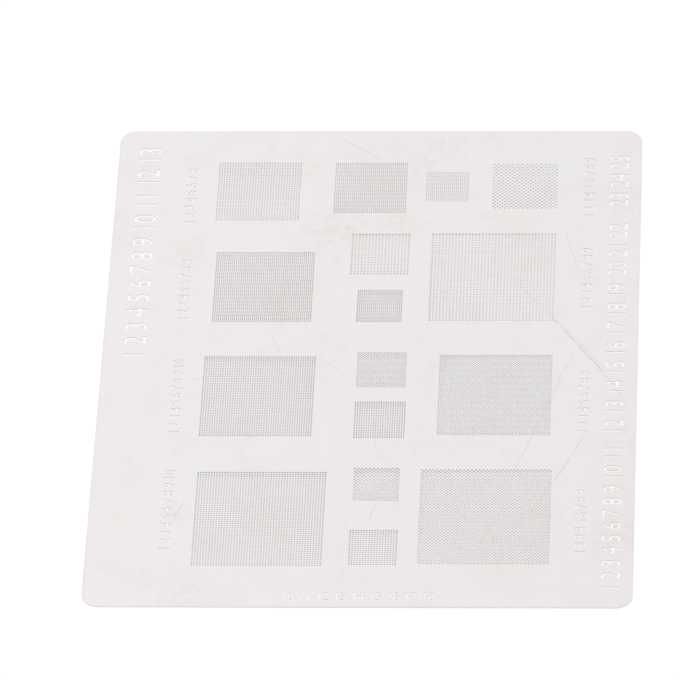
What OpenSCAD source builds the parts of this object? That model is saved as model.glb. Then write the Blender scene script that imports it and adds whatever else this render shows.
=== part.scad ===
// Solder paste stencil: one flat sheet of stainless foil with sixteen fields of round
// apertures. It lies flat, with its underside on z = 0 and the middle of that face at the
// origin; +Y runs along the sheet's long side.

/* [Sheet] */
// Width of the foil, along X
sheet_width = 80; // [70:1:120]
// Length of the foil, along Y
sheet_length = 100; // [92:1:140]
// Thickness of the foil
sheet_thickness = 0.12; // [0.08:0.01:0.2]
// Radius of the four corners
corner_radius = 2.5; // [0.5:0.5:6]

/* [Apertures] */
// Pitch of the finest fields
pitch_finest = 0.3; // [0.25:0.01:0.32]
// Pitch of the fine fields
pitch_fine = 0.35; // [0.3:0.01:0.38]
// Pitch of the medium fields
pitch_medium = 0.4; // [0.35:0.01:0.45]
// Pitch of the coarse fields
pitch_coarse = 0.5; // [0.45:0.01:0.55]
// Aperture diameter as a share of its pitch
aperture_share = 0.6; // [0.5:0.01:0.65]
// How many real apertures each way one modelled aperture stands for, at the same open area
apertures_joined = 4; // [4:1:8]

/* [Hidden] */

// A parallel field has its rows in line. A diagonal field is the same lattice turned by
// 45 degrees, so that every other row lies half a step across.
PARALLEL = "parallel";
DIAGONAL = "diagonal";

// Each field: [centre x, centre y, lattice, pitch, apertures in a row, relative size].
// The relative size is the field's own aperture size against what aperture_share gives.
FIELDS = [
    // first row, from the left
    [-18.2, 36.7, PARALLEL, pitch_medium, 32, 1],
    [-1.2, 37.5, PARALLEL, pitch_finest, 37, 1],
    [10.5, 37.7, PARALLEL, pitch_finest, 22, 0.72],
    [22.3, 37.8, DIAGONAL, pitch_coarse, 14, 0.88],
    // second row
    [-16.5, 16.0, PARALLEL, pitch_finest, 50, 1],
    [0.8, 23.0, PARALLEL, pitch_coarse, 18, 1],
    [1.1, 11.9, PARALLEL, pitch_finest, 23, 1.08],
    [17.9, 18.1, PARALLEL, pitch_coarse, 38, 1],
    // third row
    [-16.3, -7.1, PARALLEL, pitch_fine, 48, 1],
    [1.9, -1.6, DIAGONAL, pitch_fine, 15, 1],
    [2.0, -12.0, PARALLEL, pitch_fine, 22, 1],
    [18.9, -6.8, DIAGONAL, pitch_fine, 34, 1],
    // fourth row
    [-14.9, -32.3, PARALLEL, pitch_medium, 48, 1],
    [2.0, -25.3, DIAGONAL, pitch_medium, 12, 1.04],
    [2.0, -38.1, PARALLEL, pitch_medium, 18, 1],
    [18.1, -31.8, DIAGONAL, pitch_medium, 34, 1],
];

// Side of a field from edge to edge of its outer apertures. In a diagonal field the steps
// along a row are the diagonal of the pitch, and the offset rows add half a step.
function real_diameter(pitch, size) = pitch * aperture_share * size;
function row_step(lattice, pitch) = lattice == DIAGONAL ? pitch * sqrt(2) : pitch;
function steps_across(lattice, count) = lattice == DIAGONAL ? count - 0.5 : count - 1;
function field_side(lattice, pitch, count, size) =
    steps_across(lattice, count) * row_step(lattice, pitch) + real_diameter(pitch, size);

// Round apertures of one field, centred on its middle. The joined apertures keep the
// field's own side, lattice and open area.
module lattice_apertures(lattice, pitch, count, size) {
    side = field_side(lattice, pitch, count, size);
    diameter = real_diameter(pitch, size) * apertures_joined;
    columns = max(2, round(count / apertures_joined));
    rows = lattice == DIAGONAL ? 2 * columns : columns;
    step = (side - diameter) / steps_across(lattice, columns);
    line = lattice == DIAGONAL ? step / 2 : step;
    first = (diameter - side) / 2;
    for (row = [0 : rows - 1], column = [0 : columns - 1]) {
        offset_across = lattice == DIAGONAL && row % 2 == 1 ? step / 2 : 0;
        translate([first + column * step + offset_across, first + row * line])
            circle(d = diameter, $fn = 16);
    }
}

// Outline of the foil: a rectangle with rounded corners.
module sheet_outline() {
    inner = [sheet_width - 2 * corner_radius, sheet_length - 2 * corner_radius];
    square([sheet_width, inner.y], center = true);
    square([inner.x, sheet_length], center = true);
    for (x = [-1, 1], y = [-1, 1])
        translate([x * inner.x / 2, y * inner.y / 2])
            circle(r = corner_radius, $fn = 48);
}

// The whole stencil is one piece of foil, cut through at every aperture.
module stencil_sheet() {
    color("gainsboro")
        linear_extrude(sheet_thickness)
            difference() {
                sheet_outline();
                for (field = FIELDS)
                    translate([field[0], field[1]])
                        lattice_apertures(field[2], field[3], field[4], field[5]);
            }
}

stencil_sheet();
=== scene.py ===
# %% [markdown]
# # A solder paste stencil
#
# A stencil of this kind is one sheet of stainless foil, here 0.12 mm thick. A laser has
# cut fine round apertures through it, in sixteen fields, and an etchant has sunk small
# figures part of the way into its upper face. Solder paste is wiped over the sheet, so it
# carries the scuffs and stains of use.
#
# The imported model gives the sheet's size and place. Its apertures are joined ones, each
# four times as wide as the finer ones that it stands for, so here the foil is made again
# with the finer ones. They come to almost nineteen thousand. That number follows from the
# table below and isn't a count of a real sheet's.

import math

import bpy
from mathutils import Matrix, Vector


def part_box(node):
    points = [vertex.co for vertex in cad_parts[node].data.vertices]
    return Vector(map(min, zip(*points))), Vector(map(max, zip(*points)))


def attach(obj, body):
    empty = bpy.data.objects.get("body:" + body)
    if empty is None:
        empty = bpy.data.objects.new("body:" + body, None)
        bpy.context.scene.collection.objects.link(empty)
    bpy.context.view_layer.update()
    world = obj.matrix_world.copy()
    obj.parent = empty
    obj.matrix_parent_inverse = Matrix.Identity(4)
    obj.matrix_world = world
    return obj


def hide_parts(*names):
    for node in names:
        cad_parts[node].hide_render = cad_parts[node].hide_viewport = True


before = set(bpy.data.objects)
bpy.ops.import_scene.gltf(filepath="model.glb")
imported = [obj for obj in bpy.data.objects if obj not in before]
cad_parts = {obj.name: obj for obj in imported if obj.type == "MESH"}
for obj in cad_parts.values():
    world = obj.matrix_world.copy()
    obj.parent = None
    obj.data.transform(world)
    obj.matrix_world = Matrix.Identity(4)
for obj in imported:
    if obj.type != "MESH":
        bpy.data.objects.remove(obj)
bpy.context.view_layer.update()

MM = 0.001
SHEET = "stencil_sheet"
sheet_low, sheet_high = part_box(SHEET)
sheet_size = (sheet_high - sheet_low) / MM
print("sheet, in mm:", [round(side, 3) for side in sheet_size])

# %% [markdown]
# ## The layout
#
# A real aperture is round. Here it has eight sides, because a field repeats it hundreds
# of times or more and it is too small for its corners to show. That leaves it about nine
# tenths of its circle's area. The circle is 0.6 of the pitch across in most fields. That
# share, the pitches of 0.30 mm and the pitch of field_1d are estimates.
#
# A *parallel* field has its rows in line. A *diagonal* field is the same lattice turned
# by 45 degrees: along a row the step is then the diagonal of the pitch, every other row
# lies half a step across, and the rows are half a step apart.
#
# A field is given by its middle, its lattice, its pitch, how many apertures a row has,
# and the size of its apertures against that of the others. Lengths are in millimetres.
# Everything else about a field follows.

# %% The sixteen fields
PARALLEL, DIAGONAL = "parallel", "diagonal"
APERTURE_SHARE, APERTURE_SIDES = 0.6, 8
CORNER_RADIUS, CORNER_POINTS = 2.5, 12

FIELDS = {
    "field_1a": (-18.2, 36.7, PARALLEL, 0.40, 32, 1.0),
    "field_1b": (-1.2, 37.5, PARALLEL, 0.30, 37, 1.0),
    "field_1c": (10.5, 37.7, PARALLEL, 0.30, 22, 0.72),
    "field_1d": (22.3, 37.8, DIAGONAL, 0.50, 14, 0.88),
    "field_2a": (-16.5, 16.0, PARALLEL, 0.30, 50, 1.0),
    "field_2b": (0.8, 23.0, PARALLEL, 0.50, 18, 1.0),
    "field_2c": (1.1, 11.9, PARALLEL, 0.30, 23, 1.08),
    "field_2d": (17.9, 18.1, PARALLEL, 0.50, 38, 1.0),
    "field_3a": (-16.3, -7.1, PARALLEL, 0.35, 48, 1.0),
    "field_3b": (1.9, -1.6, DIAGONAL, 0.35, 15, 1.0),
    "field_3c": (2.0, -12.0, PARALLEL, 0.35, 22, 1.0),
    "field_3d": (18.9, -6.8, DIAGONAL, 0.35, 34, 1.0),
    "field_4a": (-14.9, -32.3, PARALLEL, 0.40, 48, 1.0),
    "field_4b": (2.0, -25.3, DIAGONAL, 0.40, 12, 1.04),
    "field_4c": (2.0, -38.1, PARALLEL, 0.40, 18, 1.0),
    "field_4d": (18.1, -31.8, DIAGONAL, 0.40, 34, 1.0),
}


def lattice_of(kind, pitch, count):
    """Columns, rows, step along a row, step between rows, and shift of every other row."""
    if kind == PARALLEL:
        return count, count, pitch, pitch, 0.0
    step = pitch * math.sqrt(2)
    return count, 2 * count, step, step / 2, step / 2


def patch_of(kind, pitch, count):
    """Width and length of the patch of foil that holds a whole field."""
    columns, rows, step, row_step, shift = lattice_of(kind, pitch, count)
    return columns * step + shift, rows * row_step


apertures = sum(math.prod(lattice_of(*field[2:5])[:2]) for field in FIELDS.values())
print("apertures:", apertures)

# %% [markdown]
# ## A short way to build node trees
#
# Geometry and material trees below are both written with the same helper. `add` makes a
# node and fills its inputs: a plain value is set on the socket, and another node's
# output is linked to it.


# %% The node helper
class Tree:
    """A node tree that is being built."""

    def __init__(self, nodes, links):
        self.nodes = nodes
        self.links = links

    def add(self, kind, inputs=None, **settings):
        """Makes a node, sets its properties, and sets or links its inputs."""
        node = self.nodes.new(kind)
        for name, value in settings.items():
            setattr(node, name, value)
        for key, value in (inputs or {}).items():
            for item in value if isinstance(value, list) else [value]:
                if isinstance(item, bpy.types.NodeSocket):
                    self.links.new(item, node.inputs[key])
                else:
                    node.inputs[key].default_value = item
        return node

    def maths(self, operation, *values):
        """The result of a Math node on one, two or three values."""
        inputs = dict(enumerate(values))
        return self.add("ShaderNodeMath", inputs, operation=operation).outputs[0]

    def vectors(self, operation, first, second=(0.0, 0.0, 0.0), output="Vector"):
        """The result of a Vector Math node on one or two vectors."""
        inputs = {0: first, 1: second}
        return self.add("ShaderNodeVectorMath", inputs, operation=operation).outputs[output]

    def vector(self, x=0.0, y=0.0, z=0.0):
        """A vector joined from three values."""
        return self.add("ShaderNodeCombineXYZ", {"X": x, "Y": y, "Z": z}).outputs[0]


def geometry_tree(name, sizes):
    """A Geometry Nodes tree with named inputs, its helper, and the sockets of the inputs."""
    group = bpy.data.node_groups.new(name, "GeometryNodeTree")
    group.interface.new_socket(
        "Geometry", in_out="INPUT", socket_type="NodeSocketGeometry"
    )
    for size, kind in sizes.items():
        group.interface.new_socket(size, in_out="INPUT", socket_type="NodeSocket" + kind)
    group.interface.new_socket(
        "Geometry", in_out="OUTPUT", socket_type="NodeSocketGeometry"
    )
    tree = Tree(group.nodes, group.links)
    given = tree.add("NodeGroupInput").outputs
    return group, tree, given


# %% [markdown]
# ## Cutting the apertures
#
# Booleans are a slow way to cut this many holes. The foil is flat, so its holes can be
# drawn instead: *Fill Curve* takes an outline with circles inside it and fills only what
# lies between them. To keep each fill small, the tree fills one strip that holds a single
# row, and repeats the strip up the field. Strips share their long edges, so they weld
# into one flat skin, which is then extruded to the foil's thickness.
#
# A diagonal field alternates two strips, with their holes moved a quarter step to the
# left and to the right.
#
# The trees work in millimetres and shrink the result at the end, which keeps the fills
# clear of points so close together that they may be taken for one.

# %% Tools that both geometry trees use
WELD = 0.001
UP = (0.0, 0.0, 1.0)

# A face is a wall where its normal rises or falls by less than this
WALL_SLOPE = 0.5


def joined(tree, *parts):
    """Several geometries as one."""
    return tree.add("GeometryNodeJoinGeometry", {"Geometry": list(parts)}).outputs[0]


def filled(tree, *curves):
    """A flat skin between outlines."""
    return tree.add("GeometryNodeFillCurve", {"Curve": joined(tree, *curves)}).outputs[0]


def turned_over(tree, skin):
    """A skin whose faces point the other way."""
    return tree.add("GeometryNodeFlipFaces", {"Mesh": skin}).outputs[0]


def extruded(tree, skin, height):
    """A skin pulled up, with the upright walls that it leaves round its outlines."""
    return tree.add(
        "GeometryNodeExtrudeMesh",
        {"Mesh": skin, "Offset": UP, "Offset Scale": height, "Individual": False},
        mode="FACES",
    )


def painted(tree, geometry, material, selection=True):
    """The geometry with a material on all its faces, or on the selected ones."""
    return tree.add(
        "GeometryNodeSetMaterial",
        {"Geometry": geometry, "Selection": selection, "Material": material},
    ).outputs[0]


def finished(tree, solid, middle, given):
    """Welds a solid, brings it to metres and to its place, and gives it its materials."""
    welded = tree.add(
        "GeometryNodeMergeByDistance", {"Geometry": solid, "Distance": WELD}
    ).outputs[0]
    in_metres = tree.add(
        "ShaderNodeVectorMath", {0: middle, "Scale": MM}, operation="SCALE"
    ).outputs[0]
    placed = tree.add(
        "GeometryNodeTransform",
        {"Geometry": welded, "Translation": in_metres, "Scale": (MM, MM, MM)},
    ).outputs[0]
    real = tree.add("GeometryNodeRealizeInstances", {"Geometry": placed}).outputs[0]
    faced = painted(tree, real, given["Foil"])
    normal = tree.add("GeometryNodeInputNormal").outputs[0]
    slope = tree.maths("ABSOLUTE", tree.add("ShaderNodeSeparateXYZ", {0: normal}).outputs["Z"])
    upright = tree.maths("LESS_THAN", slope, WALL_SLOPE)
    return painted(tree, faced, given["Cut Edge"], upright)


def evaluated_mesh(name, source, group, values):
    """Runs a tree on an object and returns the result as a new, plain object."""
    modifier = source.modifiers.new(group.name, "NODES")
    modifier.node_group = group
    for item in group.interface.items_tree:
        if item.in_out == "INPUT" and item.name in values:
            modifier[item.identifier] = values[item.name]
    graph = bpy.context.evaluated_depsgraph_get()
    mesh = bpy.data.meshes.new_from_object(source.evaluated_get(graph))
    source.modifiers.remove(modifier)
    bpy.data.objects.remove(source)
    mesh.name = name
    piece = bpy.data.objects.new(name, mesh)
    bpy.context.scene.collection.objects.link(piece)
    return piece


# %% The tree that makes one perforated field
FIELD_SIZES = {
    "Columns": "Int",
    "Rows": "Int",
    "Step": "Float",
    "Row Step": "Float",
    "Row Shift": "Float",
    "Diameter": "Float",
    "Aperture Sides": "Int",
    "Thickness": "Float",
    "Middle": "Vector",
    "Foil": "Material",
    "Cut Edge": "Material",
}


def row_of_points(tree, count, step, axis):
    """Points one step apart along an axis, centred on the origin."""
    gaps = tree.maths("SUBTRACT", count, 1)
    start = tree.maths("MULTIPLY", tree.maths("MULTIPLY", gaps, step), -0.5)
    return tree.add(
        "GeometryNodeMeshLine",
        {
            "Count": count,
            "Start Location": tree.vector(**{axis: start}),
            "Offset": tree.vector(**{axis: step}),
        },
        mode="OFFSET",
    ).outputs[0]


def field_tree():
    """A square field of apertures, built from repeated strips."""
    group, tree, given = geometry_tree("Perforated field", FIELD_SIZES)
    radius = tree.maths("MULTIPLY", given["Diameter"], 0.5)
    aperture = tree.add(
        "GeometryNodeCurvePrimitiveCircle",
        {"Resolution": given["Aperture Sides"], "Radius": radius},
    ).outputs[0]
    row = tree.add(
        "GeometryNodeInstanceOnPoints",
        {
            "Points": row_of_points(tree, given["Columns"], given["Step"], "x"),
            "Instance": aperture,
        },
    ).outputs[0]
    row = tree.add("GeometryNodeRealizeInstances", {"Geometry": row}).outputs[0]
    width = tree.maths(
        "MULTIPLY_ADD", given["Columns"], given["Step"], given["Row Shift"]
    )
    outline = tree.add(
        "GeometryNodeCurvePrimitiveQuadrilateral",
        {"Width": width, "Height": given["Row Step"]},
    ).outputs[0]

    strips = []
    for half in (-0.5, 0.5):
        across = tree.maths("MULTIPLY", given["Row Shift"], half)
        moved = tree.add(
            "GeometryNodeTransform",
            {"Geometry": row, "Translation": tree.vector(x=across)},
        ).outputs[0]
        strip = filled(tree, outline, moved)
        packed = tree.add("GeometryNodeGeometryToInstance", {"Geometry": strip})
        strips.append(packed.outputs[0])

    index = tree.add("GeometryNodeInputIndex").outputs[0]
    stacked = tree.add(
        "GeometryNodeInstanceOnPoints",
        {
            "Points": row_of_points(tree, given["Rows"], given["Row Step"], "y"),
            "Instance": joined(tree, *strips),
            "Pick Instance": True,
            "Instance Index": tree.maths("MODULO", index, 2.0),
        },
    ).outputs[0]
    stacked = tree.add("GeometryNodeRealizeInstances", {"Geometry": stacked}).outputs[0]
    skin = tree.add(
        "GeometryNodeMergeByDistance", {"Geometry": stacked, "Distance": WELD}
    ).outputs[0]
    raised = extruded(tree, skin, given["Thickness"]).outputs["Mesh"]
    solid = joined(tree, raised, turned_over(tree, skin))
    made = finished(tree, solid, given["Middle"], given)
    tree.add("NodeGroupOutput", {"Geometry": made})
    return group


# %% [markdown]
# ## The sheet round the fields
#
# The rest of the foil is one more fill: a rectangle with rounded corners, with a window
# for each field and with the outlines of the etched figures. The windows are one square
# repeated on sixteen points, and each point carries its window's size.
#
# The figures are real recesses. The upper skin is left open at them, walls go down from
# their outlines, and a second fill makes their floor.

# %% The figures etched into the upper face
FIGURE_DEPTH = 0.05
FIGURE_CURVE_POINTS = 3

# A digit's height as a share of the text size, and its width against the font's own
DIGIT_HEIGHT, NARROWED = 0.7, 0.8

READS_UP = math.radians(90)
LEFT_COLUMN, RIGHT_COLUMN = -33.6, 38.0
LEFT_LABELS, RIGHT_LABELS = -27.6, 32.95

EIGHT, NINE, TEN = "1 2 3 4 5 6 7 8", "1 2 3 4 5 6 7 8 9", "1 2 3 4 5 6 7 8 9 10"

# Each line of figures: text, where its base line starts, height, and its turn
FIGURES = (
    ("1 2 3 4 5 6 7 8 9 10 11 12 13", LEFT_COLUMN, 0.6, 3.4, READS_UP),
    ("1 2 3 4 5 6 7 8 9 10 11", RIGHT_COLUMN, -46.8, 2.8, READS_UP),
    ("12 13 14 15 16 17 18 19", RIGHT_COLUMN, -15.0, 2.8, READS_UP),
    ("20 21 22", RIGHT_COLUMN, 18.4, 2.8, READS_UP),
    ("23 24 25", RIGHT_COLUMN, 33.4, 2.8, READS_UP),
    (EIGHT, LEFT_LABELS, 29.5, 1.8, READS_UP),
    (NINE, LEFT_LABELS, 8.8, 1.7, READS_UP),
    (TEN, LEFT_LABELS, -15.0, 1.7, READS_UP),
    (TEN, LEFT_LABELS, -38.9, 1.8, READS_UP),
    (NINE, RIGHT_LABELS, 31.0, 1.7, READS_UP),
    (NINE, RIGHT_LABELS, 11.3, 1.7, READS_UP),
    (NINE, RIGHT_LABELS, -14.8, 1.7, READS_UP),
    (NINE, RIGHT_LABELS, -39.3, 1.7, READS_UP),
    ("10 11 12 13 14 15 16 17 18", -11.1, -48.7, 1.75, 0.0),
)

# %% The tree that makes the sheet
SHEET_SIZES = {
    "Width": "Float",
    "Length": "Float",
    "Corner Radius": "Float",
    "Thickness": "Float",
    "Figure Depth": "Float",
    "Foil": "Material",
    "Cut Edge": "Material",
    "Etched Foil": "Material",
    "Etched Edge Painted Shade": "Material",
}


def figure_curves(tree):
    """The outlines of all the figures, joined."""
    outlines = []
    for text, x, y, height, turn in FIGURES:
        written = tree.add(
            "GeometryNodeStringToCurves",
            {"String": text, "Size": height / DIGIT_HEIGHT},
        ).outputs[0]
        placed = tree.add(
            "GeometryNodeTransform",
            {
                "Geometry": written,
                "Translation": (x, y, 0.0),
                "Rotation": (0.0, 0.0, turn),
                "Scale": (NARROWED, 1.0, 1.0),
            },
        )
        outlines.append(placed.outputs[0])
    real = tree.add(
        "GeometryNodeRealizeInstances", {"Geometry": joined(tree, *outlines)}
    ).outputs[0]
    return tree.add(
        "GeometryNodeSetSplineResolution", {"Geometry": real, "Resolution": FIGURE_CURVE_POINTS}
    ).outputs[0]


def walls(tree, skin, height):
    """The upright walls round a skin's outlines, without the skin."""
    raised = extruded(tree, skin, height)
    return tree.add(
        "GeometryNodeDeleteGeometry",
        {"Geometry": raised.outputs["Mesh"], "Selection": raised.outputs["Top"]},
        domain="FACE",
    ).outputs[0]


def raised_to(tree, geometry, height):
    """The geometry moved up."""
    return tree.add(
        "GeometryNodeTransform",
        {"Geometry": geometry, "Translation": tree.vector(z=height)},
    ).outputs[0]


def at_height(tree, height):
    """True on the faces whose middle is at a height, given in millimetres."""
    place = tree.add("GeometryNodeInputPosition").outputs[0]
    found = tree.add("ShaderNodeSeparateXYZ", {0: place}).outputs["Z"]
    return tree.maths("COMPARE", found, tree.maths("MULTIPLY", height, MM), WELD * MM)


def sheet_tree():
    """The foil with its windows and its etched figures."""
    group, tree, given = geometry_tree("Stencil sheet", SHEET_SIZES)
    corners = tree.add(
        "GeometryNodeCurvePrimitiveQuadrilateral",
        {"Width": given["Width"], "Height": given["Length"]},
    ).outputs[0]
    outline = tree.add(
        "GeometryNodeFilletCurve",
        {"Curve": corners, "Radius": given["Corner Radius"], "Count": CORNER_POINTS},
        mode="POLY",
    ).outputs[0]
    square = tree.add(
        "GeometryNodeCurvePrimitiveQuadrilateral", {"Width": 1.0, "Height": 1.0}
    ).outputs[0]
    window = tree.add(
        "GeometryNodeInputNamedAttribute", {"Name": "window"}, data_type="FLOAT_VECTOR"
    ).outputs[0]
    windows = tree.add(
        "GeometryNodeInstanceOnPoints",
        {"Points": given["Geometry"], "Instance": square, "Scale": window},
    ).outputs[0]
    windows = tree.add("GeometryNodeRealizeInstances", {"Geometry": windows}).outputs[0]
    figures = figure_curves(tree)

    lower = filled(tree, outline, windows)
    edges = walls(tree, lower, given["Thickness"])
    lower = turned_over(tree, lower)
    upper = raised_to(tree, filled(tree, outline, windows, figures), given["Thickness"])
    floor = filled(tree, figures)
    recess = turned_over(tree, walls(tree, floor, given["Figure Depth"]))
    sunk = tree.maths("SUBTRACT", given["Thickness"], given["Figure Depth"])
    floor = raised_to(tree, floor, sunk)
    recess = raised_to(tree, recess, sunk)
    solid = joined(tree, lower, edges, upper, recess, floor)
    made = finished(tree, solid, (0.0, 0.0, 0.0), given)

    half_up = tree.maths("MULTIPLY_ADD", given["Figure Depth"], 0.5, sunk)
    made = painted(tree, made, given["Etched Foil"], at_height(tree, sunk))
    # The recess walls get a dark tone, a painted shade along the figures' outlines
    made = painted(tree, made, given["Etched Edge Painted Shade"], at_height(tree, half_up))
    tree.add("NodeGroupOutput", {"Geometry": made})
    return group


# %% [markdown]
# ## The finish
#
# Rolled stainless foil is a satin metal. Rolling leaves hair-fine lines along the length
# of the sheet. Flux and fingers leave faint brown and red stains, and wiping leaves
# scratches. The foil is also a little darker towards its near right corner and just
# inside its rim. All of it is read from Object coordinates, so the pattern runs on across
# the pieces that the foil is made in.


# %% Tools for the materials
def new_material(name):
    """A material with an empty tree."""
    material = bpy.data.materials.new(name)
    material.use_nodes = True
    material.node_tree.nodes.clear()
    return material, Tree(material.node_tree.nodes, material.node_tree.links)


def noise(tree, place, scale, detail=3.0, roughness=0.55, stretch=(1.0, 1.0, 1.0)):
    """A soft pattern between 0 and 1 whose patches are about 1 / scale across."""
    drawn_out = tree.add(
        "ShaderNodeMapping", {"Vector": place, "Scale": stretch}
    ).outputs[0]
    return tree.add(
        "ShaderNodeTexNoise",
        {"Vector": drawn_out, "Scale": scale, "Detail": detail, "Roughness": roughness},
    ).outputs["Fac"]


def between(tree, value, low, high, to_low=0.0, to_high=1.0):
    """The value's range from low to high, spread over another range and held there."""
    return tree.add(
        "ShaderNodeMapRange",
        {
            "Value": value,
            "From Min": low,
            "From Max": high,
            "To Min": to_low,
            "To Max": to_high,
        },
    ).outputs[0]


def mixed(tree, share, first, second):
    """A colour between two, each given as three values or as another node's output."""
    ends = [
        colour if isinstance(colour, bpy.types.NodeSocket) else (*colour, 1.0)
        for colour in (first, second)
    ]
    # In a Mix node, sockets 6 and 7 are the two colours, and output 2 is their mixture
    return tree.add(
        "ShaderNodeMix", {0: share, 6: ends[0], 7: ends[1]}, data_type="RGBA"
    ).outputs[2]


def shader_group(name, vectors, values, output):
    """A group for materials, its helper, and the sockets of its inputs."""
    group = bpy.data.node_groups.new(name, "ShaderNodeTree")
    for vector in vectors:
        group.interface.new_socket(vector, in_out="INPUT", socket_type="NodeSocketVector")
    for value in values:
        group.interface.new_socket(value, in_out="INPUT", socket_type="NodeSocketFloat")
    group.interface.new_socket(output, in_out="OUTPUT", socket_type="NodeSocketFloat")
    tree = Tree(group.nodes, group.links)
    return group, tree, tree.add("NodeGroupInput").outputs


def metal(tree, colour, roughness, bump_height, strength, distance):
    """A metal surface, as the output of the tree."""
    bump = tree.add(
        "ShaderNodeBump",
        {"Height": bump_height, "Strength": strength, "Distance": distance},
    ).outputs[0]
    shader = tree.add(
        "ShaderNodeBsdfPrincipled",
        {"Base Color": colour, "Metallic": 1.0, "Roughness": roughness, "Normal": bump},
    ).outputs[0]
    tree.add("ShaderNodeOutputMaterial", {"Surface": shader})


def wandering(tree, place, scale, reach):
    """The place pushed aside by a noise, so that what is drawn on it isn't straight."""
    drift = tree.add(
        "ShaderNodeTexNoise", {"Vector": place, "Scale": scale, "Detail": 2.0}
    ).outputs["Color"]
    centred = tree.vectors("SUBTRACT", drift, (0.5, 0.5, 0.5))
    return tree.add(
        "ShaderNodeVectorMath",
        {0: centred, 1: (reach, reach, 0.0), 2: place},
        operation="MULTIPLY_ADD",
    ).outputs[0]


# %% Scratches
# Each scratch: start x and y, end x and y, width, all in millimetres, and its depth
SCRATCHES = (
    (19.4, 19.2, 28.6, 7.8, 0.36, 0.40),
    (26.6, 10.4, 35.4, -3.0, 0.46, 0.85),
    (28.7, 8.2, 35.8, -2.7, 0.28, 0.55),
    (33.6, -0.6, 38.8, -9.0, 0.38, 0.50),
    (30.6, 2.4, 26.6, -8.6, 0.34, 0.45),
    (27.6, -5.6, 21.4, -25.0, 0.34, 0.50),
    (32.2, -15.2, 27.6, -25.6, 0.44, 0.70),
    (28.6, -23.6, 24.2, -31.6, 0.38, 0.45),
    (28.4, 29.4, 31.0, 18.6, 0.34, 0.45),
    (-26.4, -3.8, -21.2, -2.6, 0.34, 0.50),
    (-15.2, 6.8, -12.6, 0.4, 0.32, 0.45),
    (-8.0, 1.2, -1.8, -3.8, 0.32, 0.35),
    (-6.4, 48.8, 1.0, 42.9, 0.34, 0.50),
    (2.7, -13.6, 1.2, -18.2, 0.32, 0.35),
    (2.2, -28.8, 1.2, -33.0, 0.34, 0.45),
    (-27.9, -33.0, -26.1, -28.8, 0.44, 0.55),
)

# How often a scratch wanders and how far, and how fine its breaks are
SCRATCH_BENDS, SCRATCH_WANDERS = 130.0, 1.2 * MM
BREAK_SCALE, FAINTEST_BREAK = 700.0, 0.35

# A scratch is at full depth where the product of its two shares of length reaches this
FULL_DEPTH = 0.12


def scratch_group():
    """A group that is 1 on a line from one point to another and 0 away from it."""
    group, tree, given = shader_group(
        "Scratch", ("Place", "Start", "Along"), ("Length", "Width", "Depth"), "Mark"
    )
    from_start = tree.vectors("SUBTRACT", given["Place"], given["Start"])
    travelled = tree.vectors("DOT_PRODUCT", from_start, given["Along"], "Value")
    sideways = tree.vectors("CROSS_PRODUCT", given["Along"], from_start)
    away = tree.maths("ABSOLUTE", tree.add("ShaderNodeSeparateXYZ", {0: sideways}).outputs["Z"])
    share = tree.maths("DIVIDE", travelled, given["Length"])
    taper = tree.maths("MULTIPLY", share, tree.maths("SUBTRACT", 1.0, share))
    taper = between(tree, taper, 0.0, FULL_DEPTH)
    line = between(tree, tree.maths("DIVIDE", away, given["Width"]), 0.0, 0.5, 1.0, 0.0)
    mark = tree.maths("MULTIPLY", tree.maths("MULTIPLY", line, taper), given["Depth"])
    tree.add("NodeGroupOutput", {"Mark": mark})
    return group


def scratches(tree, place):
    """The deepest scratch at each place, broken up a little along its length."""
    group = scratch_group()
    bent = wandering(tree, place, SCRATCH_BENDS, SCRATCH_WANDERS)
    deepest = 0.0
    for x0, y0, x1, y1, width, depth in SCRATCHES:
        start, end = Vector((x0, y0, 0.0)) * MM, Vector((x1, y1, 0.0)) * MM
        one = tree.add(
            "ShaderNodeGroup",
            {
                "Place": bent,
                "Start": start,
                "Along": (end - start).normalized(),
                "Length": (end - start).length,
                "Width": width * MM,
                "Depth": depth,
            },
            node_tree=group,
        ).outputs[0]
        deepest = tree.maths("MAXIMUM", deepest, one)
    breaks = noise(tree, place, BREAK_SCALE, detail=2.0)
    kept = between(tree, breaks, 0.35, 0.55, FAINTEST_BREAK, 1.0)
    return tree.maths("MULTIPLY", deepest, kept)


# %% Stains
# Each stain: middle x and y, reach, all in millimetres, and its strength
FLUX_STAINS = (
    (10.8, 48.6, 4.5, 1.0),
    (-5.6, 27.6, 7.5, 0.9),
    (2.8, 29.2, 6.0, 0.7),
    (19.6, 29.2, 7.0, 0.6),
    (-10.2, 41.0, 4.0, 0.7),
    (-38.6, 28.0, 6.0, 0.6),
    (38.4, 34.6, 5.0, 0.6),
    (39.4, -16.0, 5.0, 0.6),
    (39.6, -33.0, 8.0, 0.9),
    (26.8, -31.4, 4.0, 0.7),
    (-24.6, -47.4, 6.0, 0.6),
    (-12.0, 14.0, 8.0, 0.5),
    (19.2, -35.6, 11.0, 0.6),
    (-8.0, -4.0, 9.0, 0.4),
    (1.6, 38.0, 7.0, 0.5),
    (-12.6, -33.0, 10.0, 0.4),
    (2.4, -20.0, 5.0, 0.4),
)
RED_STAINS = (
    (2.4, 47.8, 7.0, 0.7),
    (7.4, 43.6, 5.5, 0.8),
    (21.6, 20.0, 7.0, 0.6),
    (-27.4, -31.6, 3.0, 1.0),
    (35.6, -36.6, 5.0, 0.7),
    (-29.0, 24.6, 5.0, 0.4),
    (-14.0, 10.0, 6.0, 0.3),
)

# How often a stain's outline wanders, and how far
STAIN_BENDS, STAIN_WANDERS = 240.0, 7.0 * MM


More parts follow.
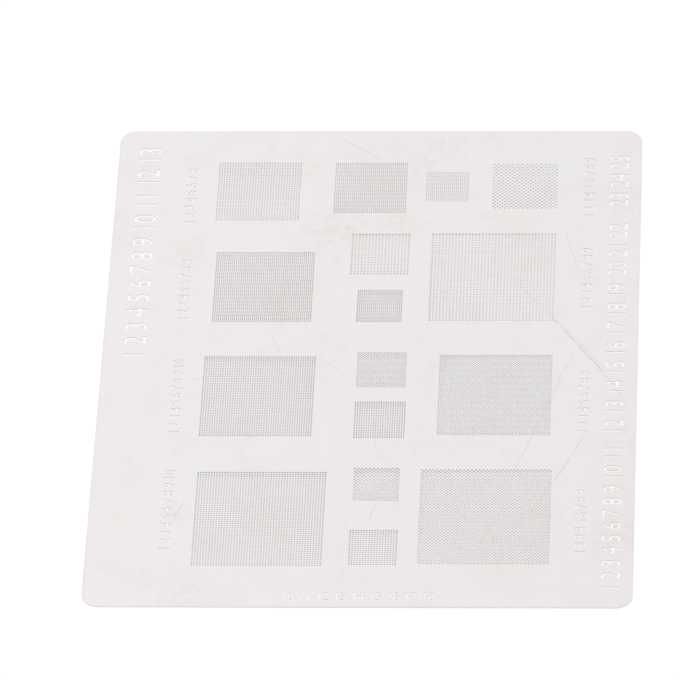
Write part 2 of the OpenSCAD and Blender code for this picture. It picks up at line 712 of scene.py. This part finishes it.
def stain_group():
    """A group that is 1 in the middle of a round patch and fades to 0 at its reach."""
    group, tree, given = shader_group(
        "Stain", ("Place", "Middle"), ("Reach", "Strength"), "Mark"
    )
    away = tree.vectors("DISTANCE", given["Place"], given["Middle"], "Value")
    faded = between(tree, tree.maths("DIVIDE", away, given["Reach"]), 0.0, 1.0, 1.0, 0.0)
    tree.add("NodeGroupOutput", {"Mark": tree.maths("MULTIPLY", faded, given["Strength"])})
    return group


def stains(tree, place, group, table):
    """The strongest stain of a table at each place."""
    strongest = 0.0
    for x, y, reach, strength in table:
        one = tree.add(
            "ShaderNodeGroup",
            {
                "Place": place,
                "Middle": (x * MM, y * MM, 0.0),
                "Reach": reach * MM,
                "Strength": strength,
            },
            node_tree=group,
        ).outputs[0]
        strongest = tree.maths("MAXIMUM", strongest, one)
    return strongest


# %% Darkening towards a corner and inside the rim
# The foil darkens along this way. A place's dot product with it tells how far: nothing up
# to the first value, and all of it from the second
DARKENING_WAY = (0.34, -0.50, 0.0)
DARKENING_STARTS, DARKENING_ENDS = -0.022, 0.038
CORNER_DARKENING = 0.06
# How much darker the foil is just inside its rim, and over what width
RIM_DARKENING, RIM_DARKENING_WIDTH = 0.05, 0.45 * MM


def corner_and_rim_darkening(tree, place):
    """How much darker the foil is: more towards one corner, and just inside the rim."""
    along = tree.vectors("DOT_PRODUCT", place, DARKENING_WAY, "Value")
    darkened = between(tree, along, DARKENING_STARTS, DARKENING_ENDS, 0.0, CORNER_DARKENING)
    inwards = from_rim(tree, place)
    rim_darker = between(tree, inwards, 0.5 * RIM_DARKENING_WIDTH, RIM_DARKENING_WIDTH, RIM_DARKENING, 0.0)
    return tree.maths("ADD", darkened, rim_darker)


def from_rim(tree, place):
    """How far a place is inside the sheet's rounded outline."""
    # A metre is put in for the height, so that the foil's thickness never counts
    radius = CORNER_RADIUS * MM
    straight = Vector((sheet_size.x, sheet_size.y, 0.0)) * MM / 2 - Vector((radius, radius, -1.0))
    past = tree.vectors("SUBTRACT", tree.vectors("ABSOLUTE", place), straight)
    beyond = tree.vectors("LENGTH", tree.vectors("MAXIMUM", past), output="Value")
    sides = tree.add("ShaderNodeSeparateXYZ", {0: past}).outputs
    nearer = tree.maths("MINIMUM", tree.maths("MAXIMUM", sides["X"], sides["Y"]), 0.0)
    return tree.maths("SUBTRACT", radius, tree.maths("ADD", beyond, nearer))


# %% The foil, its cut edges and its etched floor
PINK_STEEL, COOL_STEEL = (0.846, 0.803, 0.811), (0.820, 0.801, 0.809)
DARKER_STEEL = (0.45, 0.43, 0.42)
FLUX_BROWN, RED_BROWN = (0.70, 0.625, 0.570), (0.76, 0.620, 0.615)
SCORED_STEEL = (0.48, 0.42, 0.40)
WALL_SHADES = (0.60, 0.57, 0.55), (0.66, 0.635, 0.62)

# Patches a metre in the foil's soft patterns, and the stretch of its rolling lines
CLOUD_SCALE, BLOT_SCALE, SPECK_SCALE = 110.0, 150.0, 620.0
ROLLING_LINES = (4200.0, 30.0, 1.0)

# How far each kind of mark tints the foil
STREAK_TINT, FAINT_TINT, FLUX_TINT, RED_TINT, SCRATCH_TINT = 0.07, 0.30, 0.50, 0.45, 0.55

# The foil's roughness from end to end, and what a scratch adds to it
SMOOTHEST, ROUGHEST, SCRATCH_ROUGHNESS = 0.34, 0.42, 0.2


def foil_material():
    """Satin rolled stainless foil with stains and scratches."""
    material, tree = new_material("stainless foil")
    place = tree.add("ShaderNodeTexCoord").outputs["Object"]
    clouds = noise(tree, place, CLOUD_SCALE, detail=5.0, roughness=0.6)
    specks = noise(tree, place, SPECK_SCALE, detail=4.0, roughness=0.65)
    blots = noise(tree, place, BLOT_SCALE, detail=4.0, roughness=0.6)
    rolled = noise(tree, place, 1.0, detail=2.0, stretch=ROLLING_LINES)
    marks = scratches(tree, place)

    group = stain_group()
    loose = wandering(tree, place, STAIN_BENDS, STAIN_WANDERS)
    speckled = between(tree, specks, 0.40, 0.62)
    flux = tree.maths("MULTIPLY", stains(tree, loose, group, FLUX_STAINS), speckled)
    red = tree.maths("MULTIPLY", stains(tree, loose, group, RED_STAINS), speckled)
    blotted = between(tree, blots, 0.50, 0.72, 0.0, FAINT_TINT)
    faint = tree.maths("MULTIPLY", blotted, between(tree, specks, 0.3, 0.7))
    flux = tree.maths("MAXIMUM", tree.maths("MULTIPLY", flux, FLUX_TINT), faint)

    tone = mixed(tree, between(tree, clouds, 0.38, 0.62), PINK_STEEL, COOL_STEEL)
    # Darker towards the near right corner and just inside the rim
    tone = mixed(tree, corner_and_rim_darkening(tree, place), tone, DARKER_STEEL)
    streaks = between(tree, rolled, 0.3, 0.7, 0.0, STREAK_TINT)
    tone = mixed(tree, streaks, tone, FLUX_BROWN)
    tone = mixed(tree, flux, tone, FLUX_BROWN)
    tone = mixed(tree, tree.maths("MULTIPLY", red, RED_TINT), tone, RED_BROWN)
    tone = mixed(tree, tree.maths("MULTIPLY", marks, SCRATCH_TINT), tone, SCORED_STEEL)

    rough = between(tree, clouds, 0.3, 0.7, SMOOTHEST, ROUGHEST)
    rough = tree.maths("MULTIPLY_ADD", marks, SCRATCH_ROUGHNESS, rough)
    relief = tree.maths("MULTIPLY_ADD", rolled, 0.25, tree.maths("MULTIPLY", clouds, 0.5))
    relief = tree.maths("SUBTRACT", relief, marks)
    metal(tree, tone, rough, relief, strength=0.15, distance=0.03 * MM)
    return material


def cut_edge_material():
    """The walls of the cuts: dull, darker than the foil, with upright bands."""
    material, tree = new_material("laser-cut edge")
    place = tree.add("ShaderNodeTexCoord").outputs["Object"]
    burnt = noise(tree, place, 900.0, detail=3.0)
    bands = noise(tree, place, 9000.0, detail=2.0, stretch=(1.0, 1.0, 0.12))
    tone = mixed(tree, burnt, *WALL_SHADES)
    metal(tree, tone, 0.55, bands, strength=0.4, distance=0.01 * MM)
    return material


def etched_material(name, low, high):
    """The grainy surface that an etchant leaves, between two tones."""
    material, tree = new_material(name)
    place = tree.add("ShaderNodeTexCoord").outputs["Object"]
    grain = noise(tree, place, 9000.0, detail=2.0)
    tone = mixed(tree, grain, low, high)
    metal(tree, tone, 0.60, grain, strength=0.4, distance=0.02 * MM)
    return material


foil = foil_material()
cut_edge = cut_edge_material()
etched_foil = etched_material("etched foil", (0.93, 0.895, 0.90), (0.98, 0.95, 0.955))
# The etched edge's dark tone is painted shade on the walls of the recesses
etched_edge_painted_shade = etched_material("etched edge painted shade", (0.44, 0.40, 0.38), (0.56, 0.52, 0.50))

# %% [markdown]
# ## Making the pieces
#
# Each field is a piece of its own, because one mesh of the whole foil would be heavy to
# work with. Field and window have the same edges, and the finish runs on across them, so
# the foil reads as the one sheet that it is.


# %% The fields and the sheet round them
def empty_object(name, points=()):
    """An object whose mesh holds only points."""
    mesh = bpy.data.meshes.new(name)
    mesh.from_pydata(points, [], [])
    source = bpy.data.objects.new(name, mesh)
    bpy.context.scene.collection.objects.link(source)
    return source


def dress(piece):
    """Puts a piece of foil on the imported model."""
    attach(piece, "root")
    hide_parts(SHEET)
    triangles = sum(len(face.vertices) - 2 for face in piece.data.polygons)
    print(piece.name, "has", triangles, "triangles")
    return triangles


perforated_field = field_tree()
total = 0
for name, (x, y, kind, pitch, count, size) in FIELDS.items():
    columns, rows, step, row_step, shift = lattice_of(kind, pitch, count)
    field = evaluated_mesh(
        name,
        empty_object("source_" + name),
        perforated_field,
        {
            "Columns": columns,
            "Rows": rows,
            "Step": step,
            "Row Step": row_step,
            "Row Shift": shift,
            "Diameter": pitch * APERTURE_SHARE * size,
            "Aperture Sides": APERTURE_SIDES,
            "Thickness": sheet_size.z,
            "Middle": (x, y, 0.0),
            "Foil": foil,
            "Cut Edge": cut_edge,
        },
    )
    total += dress(field)

middles = [(x, y, 0.0) for x, y, *_ in FIELDS.values()]
window_points = empty_object("source_windows", middles)
windows = window_points.data.attributes.new("window", "FLOAT_VECTOR", "POINT")
for item, field in zip(windows.data, FIELDS.values()):
    item.vector = (*patch_of(*field[2:5]), 1.0)
sheet = evaluated_mesh(
    "sheet_round_the_fields",
    window_points,
    sheet_tree(),
    {
        "Width": sheet_size.x,
        "Length": sheet_size.y,
        "Corner Radius": CORNER_RADIUS,
        "Thickness": sheet_size.z,
        "Figure Depth": FIGURE_DEPTH,
        "Foil": foil,
        "Cut Edge": cut_edge,
        "Etched Foil": etched_foil,
        "Etched Edge Painted Shade": etched_edge_painted_shade,
    },
)
total += dress(sheet)
print("triangles in all:", total)

# %% [markdown]
# ## Floor, light and camera
#
# The sheet lies on a white surface under an even white sky, with one weak softbox above
# it to the left. Through each aperture the surface below is seen in a painted shade of the
# foil. That painted shade and the darker walls of the cuts make the fields look grey.
#
# Foil this thin seldom lies quite flat, and a gap below it deepens the painted shade along
# a field's far edge, where the line of sight ends under unbroken foil. The foil itself is
# kept flat here, so the surface dips instead. It lies a tenth of a millimetre below the
# foil at the far and right edges, up to 0.36 mm below it at the left edge, up to 0.24 mm
# at the near edge, and 1.25 mm below it under the middle. Beyond the dip it is flat.
#
# Where the surface is seen, it glows at a brightness that follows how much sky reaches
# it: a painted shade rather than one cast by the lamps. Beside the sheet it is a twentieth
# over full white, so that noise leaves no grey specks. Close under the foil the painted
# shade falls off to grey. The depth of the dip, this brightness, the sizes of the apertures
# and the tone of their walls were set together, until the fields' greys looked right. So
# none of them is a measurement.


# %% The floor
# The gap under the foil in millimetres: the least, and what the dip adds in its middle
LEAST_GAP, DIP = 0.10, 1.15
DIP_MIDDLE, DIP_REACH = (-7.0, -8.0), (48.0, 54.0)

# Cells from the dip's middle to its reach, and the floor's edge in shares of that reach
CELLS, FAR_AWAY = 12, 80.0

MATT_WHITE = (0.97, 0.97, 0.97, 1.0)
SHADE_REACH, SHADE_SAMPLES = 60.0 * MM, 16

# The glow's painted shade rises from deep shade to field shade between the first two shares
# of the sky, and from there to full white between the other two
DEEP_SHADE, FIELD_SHADE, WASHED_OUT = 0.0, 0.95, 1.05
NO_SKY, LITTLE_SKY, SOME_SKY, OPEN_SKY = 0.0, 0.08, 0.30, 0.55


def white_surface_with_painted_shade():
    """A matt white that, where it is seen, glows in a painted shade that follows how much sky
    reaches it.
    """
    material, tree = new_material("white surface")
    # The glow is painted shade: ambient occlusion sets its strength, not the light that falls
    sky_share = tree.add(
        "ShaderNodeAmbientOcclusion", {"Distance": SHADE_REACH}, samples=SHADE_SAMPLES
    ).outputs["AO"]
    under = between(tree, sky_share, NO_SKY, LITTLE_SKY, DEEP_SHADE, FIELD_SHADE)
    beside = between(tree, sky_share, SOME_SKY, OPEN_SKY, 0.0, WASHED_OUT - FIELD_SHADE)
    painted_shade_glow = tree.add(
        "ShaderNodeEmission", {"Strength": tree.maths("ADD", under, beside)}
    ).outputs[0]
    matt = tree.add("ShaderNodeBsdfDiffuse", {"Color": MATT_WHITE}).outputs[0]
    path = tree.add("ShaderNodeLightPath").outputs
    seen = tree.maths("MAXIMUM", path["Is Camera Ray"], path["Is Glossy Ray"])
    seen = tree.maths("MAXIMUM", seen, path["Is Transmission Ray"])
    shader = tree.add("ShaderNodeMixShader", {0: seen, 1: matt, 2: painted_shade_glow}).outputs[0]
    tree.add("ShaderNodeOutputMaterial", {"Surface": shader})
    return material


def swell(share):
    """1 in the middle, smoothly down to 0 at a share of 1 and beyond."""
    return math.cos(min(abs(share), 1.0) * math.pi / 2) ** 2


def floor_point(across, along):
    """A point of the floor, at shares of the dip's reach from its middle."""
    gap = LEAST_GAP + DIP * swell(across) * swell(along)
    x = DIP_MIDDLE[0] + across * DIP_REACH[0]
    y = DIP_MIDDLE[1] + along * DIP_REACH[1]
    return Vector((x, y, sheet_low.z / MM - gap)) * MM


shares = [-FAR_AWAY, *(cell / CELLS for cell in range(-CELLS, CELLS + 1)), FAR_AWAY]
points = [floor_point(across, along) for along in shares for across in shares]
side = len(shares)
corners = [line * side + place for line in range(side - 1) for place in range(side - 1)]
faces = [(first, first + 1, first + side + 1, first + side) for first in corners]
floor_mesh = bpy.data.meshes.new("floor")
floor_mesh.from_pydata(points, [], faces)
floor_mesh.materials.append(white_surface_with_painted_shade())
floor = bpy.data.objects.new("floor", floor_mesh)
bpy.context.scene.collection.objects.link(floor)
print("floor faces:", len(faces))

# %% The light
SKY_WHITE, SKY_STRENGTH = (1.0, 1.0, 1.0, 1.0), 1.0

# The softbox, in metres and watts
SOFTBOX_PLACE = Vector((-0.9, 0.5, 1.4))
SOFTBOX_SIDE, SOFTBOX_POWER = 1.2, 3.2

world = bpy.data.worlds.new("white sky")
bpy.context.scene.world = world
world.use_nodes = True
world.node_tree.nodes.clear()
sky = Tree(world.node_tree.nodes, world.node_tree.links)
light = sky.add("ShaderNodeBackground", {"Color": SKY_WHITE, "Strength": SKY_STRENGTH})
sky.add("ShaderNodeOutputWorld", {"Surface": light.outputs[0]})

lamp = bpy.data.lights.new("softbox", "AREA")
lamp.shape = "SQUARE"
lamp.size = SOFTBOX_SIDE
lamp.energy = SOFTBOX_POWER
softbox = bpy.data.objects.new("softbox", lamp)
softbox.matrix_world = Matrix.LocRotScale(
    SOFTBOX_PLACE, SOFTBOX_PLACE.to_track_quat("Z", "Y"), None
)
bpy.context.scene.collection.objects.link(softbox)

# %% The camera
# What it looks at and from how far, in metres, its angles in degrees, and its lens in mm
AIM = Vector((-4.55, 4.80, 0.0)) * MM
DISTANCE = 1.216
AZIMUTH, ELEVATION, ROLL = 4.61, 44.85, -3.21
FOCAL_LENGTH = 431.0

turn = (
    Matrix.Rotation(math.radians(AZIMUTH), 4, "Z")
    @ Matrix.Rotation(math.radians(90 - ELEVATION), 4, "X")
)
camera_data = bpy.data.cameras.new("camera")
camera_data.lens = FOCAL_LENGTH
camera = bpy.data.objects.new("camera", camera_data)
bpy.context.scene.collection.objects.link(camera)
camera.matrix_world = (
    Matrix.Translation(AIM)
    @ turn
    @ Matrix.Translation((0.0, 0.0, DISTANCE))
    @ Matrix.Rotation(math.radians(ROLL), 4, "Z")
)
bpy.context.scene.camera = camera
bpy.context.scene.view_settings.view_transform = "Standard"
